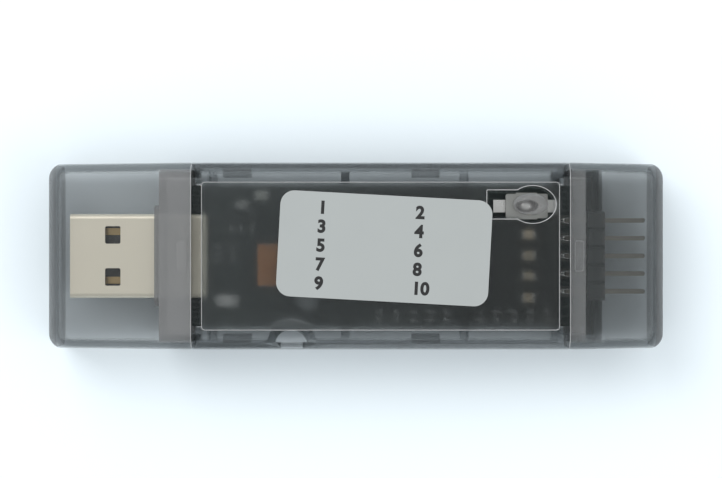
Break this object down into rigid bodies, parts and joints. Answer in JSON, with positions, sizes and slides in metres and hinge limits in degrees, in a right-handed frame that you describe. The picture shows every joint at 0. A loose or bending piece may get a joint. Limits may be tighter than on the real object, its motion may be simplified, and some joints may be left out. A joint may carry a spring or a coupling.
{
  "type": "usb microcontroller programmer",
  "caption": "Stick-shaped USB programmer in a smoked clear case, with slip-off end caps over a USB-A plug and target pins, a push button, a lanyard eye and a numbered label.",
  "frame": {"origin": "middle of the underside, with both caps closed", "axes": "+X from the USB plug to the target pins, +Z out of the label side, +Y across to the push button's side"},
  "size_m": [0.0868, 0.0266, 0.012],
  "materials": {
    "case_smoke": "translucent smoked, frosted panel",
    "cap_smoke": "translucent smoked, lightly hazed",
    "label_paper": "satin, printed",
    "plug_steel": "satin nickel plate",
    "black_moulding": "moulded",
    "white_moulding": "moulded",
    "gold_contact": "gold flash",
    "tin_plate": "bright tin",
    "board_black": "solder mask",
    "chip_black": "moulded epoxy",
    "tantalum_orange": "moulded",
    "capacitor_tan": "fired",
    "resistor_black": "glazed",
    "clear_button": "clear",
    "lens_clear": "clear"
  },
  "bodies": {
    "case": {"body_upper_shell": "case_smoke", "body_lower_shell": "case_smoke", "label_sticker": "label_paper", "usb_plug_shell": "plug_steel", "usb_plug_insulator": "white_moulding", "usb_plug_contacts": "gold_contact", "pin_header_block": "black_moulding", "header_pins_upper": "gold_contact", "header_pins_lower": "gold_contact", "switch_base": "black_moulding", "switch_cover": "tin_plate", "switch_terminals": "tin_plate", "switch_dome": "tin_plate", "circuit_board": "board_black", "controller_chip": "chip_black", "controller_leads": "tin_plate", "buffer_chip": "chip_black", "buffer_leads": "tin_plate", "regulator_body": "chip_black", "regulator_leads": "tin_plate", "surge_guard": "chip_black", "surge_guard_leads": "tin_plate", "memory_chip": "chip_black", "memory_leads": "tin_plate", "crystal_base": "black_moulding", "crystal_lid": "tin_plate", "tantalum_capacitor": "tantalum_orange", "tantalum_terminals": "tin_plate", "usb_fuse": "white_moulding", "usb_fuse_ends": "tin_plate", "filter_capacitors": "capacitor_tan", "filter_capacitor_ends": "tin_plate", "edge_resistors": "resistor_black", "edge_resistor_ends": "tin_plate", "decoupling_capacitors": "capacitor_tan", "decoupling_capacitor_ends": "tin_plate", "underside_resistors": "resistor_black", "underside_resistor_ends": "tin_plate", "status_led_base": "white_moulding", "status_led_ends": "tin_plate", "status_led_lens": "lens_clear"},
    "usb_cap": {"usb_cap": "cap_smoke"},
    "header_cap": {"header_cap": "cap_smoke"},
    "button": {"button": "clear_button"}
  },
  "joints": [
    {"name": "usb_cap_slide", "type": "slide", "parent": "case", "child": "usb_cap", "axis": [-1, 0, 0], "range_m": [0, 0.025]},
    {"name": "header_cap_slide", "type": "slide", "parent": "case", "child": "header_cap", "axis": [1, 0, 0], "range_m": [0, 0.018]},
    {"name": "button_press", "type": "slide", "parent": "case", "child": "button", "axis": [0, 0, -1], "range_m": [0, 0.00025], "stiffness_N_per_m": 3000, "deforming": ["switch_dome"]}
  ]
}
